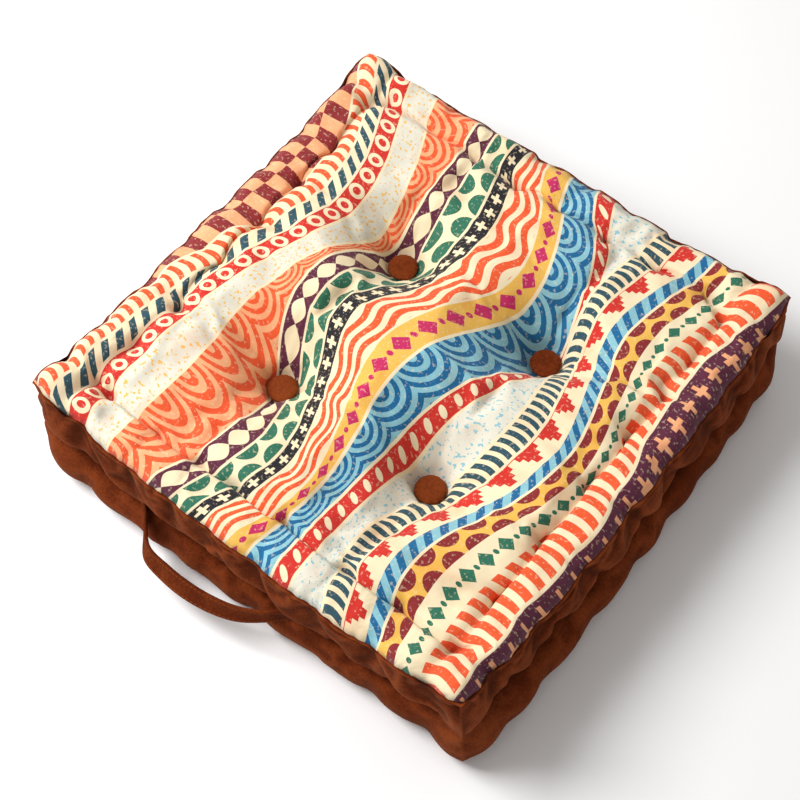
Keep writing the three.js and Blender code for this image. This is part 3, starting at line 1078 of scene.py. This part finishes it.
def strap_cloth(look, sizes, reach):
    """Velvet with a row of stitches along each edge of the strap and across its sewn ends."""
    material = velvet("velvet_strap", look)
    tree = material.node_tree
    surface = tree.nodes["Principled BSDF"]
    along, across = Thread(tree).node("UVMap", {"uv_map": "strap"}).parts()
    inset = sizes.width / MM / 2 - 2.0
    from_row = abs(abs(across) - inset)
    from_bar = abs(along.both(reach / MM - along) - 4.0)
    dashes = (along / (sizes.stitch / MM)).fract() < 0.62
    thread = (from_row < 0.4).both(dashes).either((from_bar < 0.4).both(abs(across) < inset))
    groove = (from_row < 0.9).either(from_bar < 0.9)
    bump = surface.inputs["Normal"].links[0].from_node
    relief = Thread(tree, bump.inputs["Height"].links[0].from_socket)
    (relief - groove * 0.5 + thread * 0.4).feeds(bump, "Height")
    # The velvet's colour here includes its painted shade in folds and painted highlight on ridges.
    pile = Thread(tree, surface.inputs["Base Color"].links[0].from_socket)
    thread.tint(pile, tuple(look.rubbed)).feeds(surface, "Base Color")
    return material


class CUSHION_OT_set_stage(bpy.types.Operator):
    """Makes the floor, the light and the camera"""

    bl_idname = "cushion.set_stage"
    bl_label = "Set Stage"

    def execute(self, context):
        look = context.scene.stage_look
        bm = bmesh.new()
        bmesh.ops.create_grid(bm, x_segments=1, y_segments=1, size=6.0)
        bmesh.ops.translate(bm, verts=bm.verts, vec=(0, 0, -0.0005))
        material, _, surface = shader("pale_floor")
        surface.inputs["Base Color"].default_value = look.floor
        surface.inputs["Roughness"].default_value = 0.9
        finished(context, "floor", bm, material, levels=0)
        for light in LIGHTS:
            area_light(context, light["name"], light["place"], light["size"], getattr(look, light["power"]))
        world = bpy.data.worlds.new("surroundings")
        context.scene.world = world
        world.use_nodes = True
        background = world.node_tree.nodes["Background"]
        background.inputs["Color"].default_value = (1.0, 0.98, 0.96, 1.0)
        background.inputs["Strength"].default_value = look.sky
        camera = bpy.data.objects.new("camera", bpy.data.cameras.new("camera"))
        context.collection.objects.link(camera)
        camera.data.lens = look.focal * camera.data.sensor_width / PICTURE_WIDTH
        camera.matrix_world = camera_matrix(**CAMERA)
        context.scene.camera = camera
        context.scene.view_settings.view_transform = "Standard"
        return {"FINISHED"}


def area_light(context, name, place, size, power):
    """A soft square light that faces the cushion."""
    lamp = bpy.data.lights.new(name, "AREA")
    lamp.energy = power
    lamp.size = size
    light = bpy.data.objects.new(name, lamp)
    light.location = place
    light.rotation_euler = (-Vector(place)).to_track_quat("-Z", "Y").to_euler()
    context.collection.objects.link(light)


def camera_matrix(azimuth, elevation, roll, place):
    """The camera's matrix from its angles in degrees and its place."""
    a, e, r = (math.radians(v) for v in (azimuth, elevation, roll))
    back = Vector((math.sin(a) * math.cos(e), -math.cos(a) * math.cos(e), math.sin(e)))
    level = Vector((math.cos(a), math.sin(a), 0))
    upright = back.cross(level)
    right = math.cos(r) * level + math.sin(r) * upright
    up = -math.sin(r) * level + math.cos(r) * upright
    turned = Matrix((right, up, back)).transposed().to_4x4()
    turned.translation = place
    return turned


class CUSHION_PT_cushion(bpy.types.Panel):
    """Lists the cushion's pieces and their sizes"""

    bl_idname = "CUSHION_PT_cushion"
    bl_label = "Tufted Cushion"
    bl_space_type = "VIEW_3D"
    bl_region_type = "UI"
    bl_category = "Cushion"

    def draw(self, context):
        for operator in OPERATORS:
            self.layout.operator(operator.bl_idname)
        for name in GROUPS:
            group = getattr(context.scene, name)
            box = self.layout.box()
            for prop in group.__annotations__:
                box.prop(group, prop)


OPERATORS = (
    CUSHION_OT_fill_case,
    CUSHION_OT_lay_panel,
    CUSHION_OT_tie_buttons,
    CUSHION_OT_sew_handle,
    CUSHION_OT_set_stage,
)
GROUPS = {
    "cushion_sizes": CushionSizes,
    "button_sizes": ButtonSizes,
    "handle_sizes": HandleSizes,
    "velvet_look": VelvetLook,
    "print_colours": PrintColours,
    "stage_look": StageLook,
}


def register():
    for cls in (*GROUPS.values(), *OPERATORS, CUSHION_PT_cushion):
        bpy.utils.register_class(cls)
    for name, cls in GROUPS.items():
        setattr(bpy.types.Scene, name, PointerProperty(type=cls))


def unregister():
    for name in GROUPS:
        delattr(bpy.types.Scene, name)
    for cls in (CUSHION_PT_cushion, *reversed(OPERATORS), *GROUPS.values()):
        bpy.utils.unregister_class(cls)


def main():
    """Makes every piece in order."""
    register()
    bpy.ops.cushion.fill_case()
    bpy.ops.cushion.lay_panel()
    bpy.ops.cushion.tie_buttons()
    bpy.ops.cushion.sew_handle()
    bpy.ops.cushion.set_stage()
    bpy.data.meshes.remove(bpy.data.meshes["filled"])


if __name__ == "__main__":
    main()
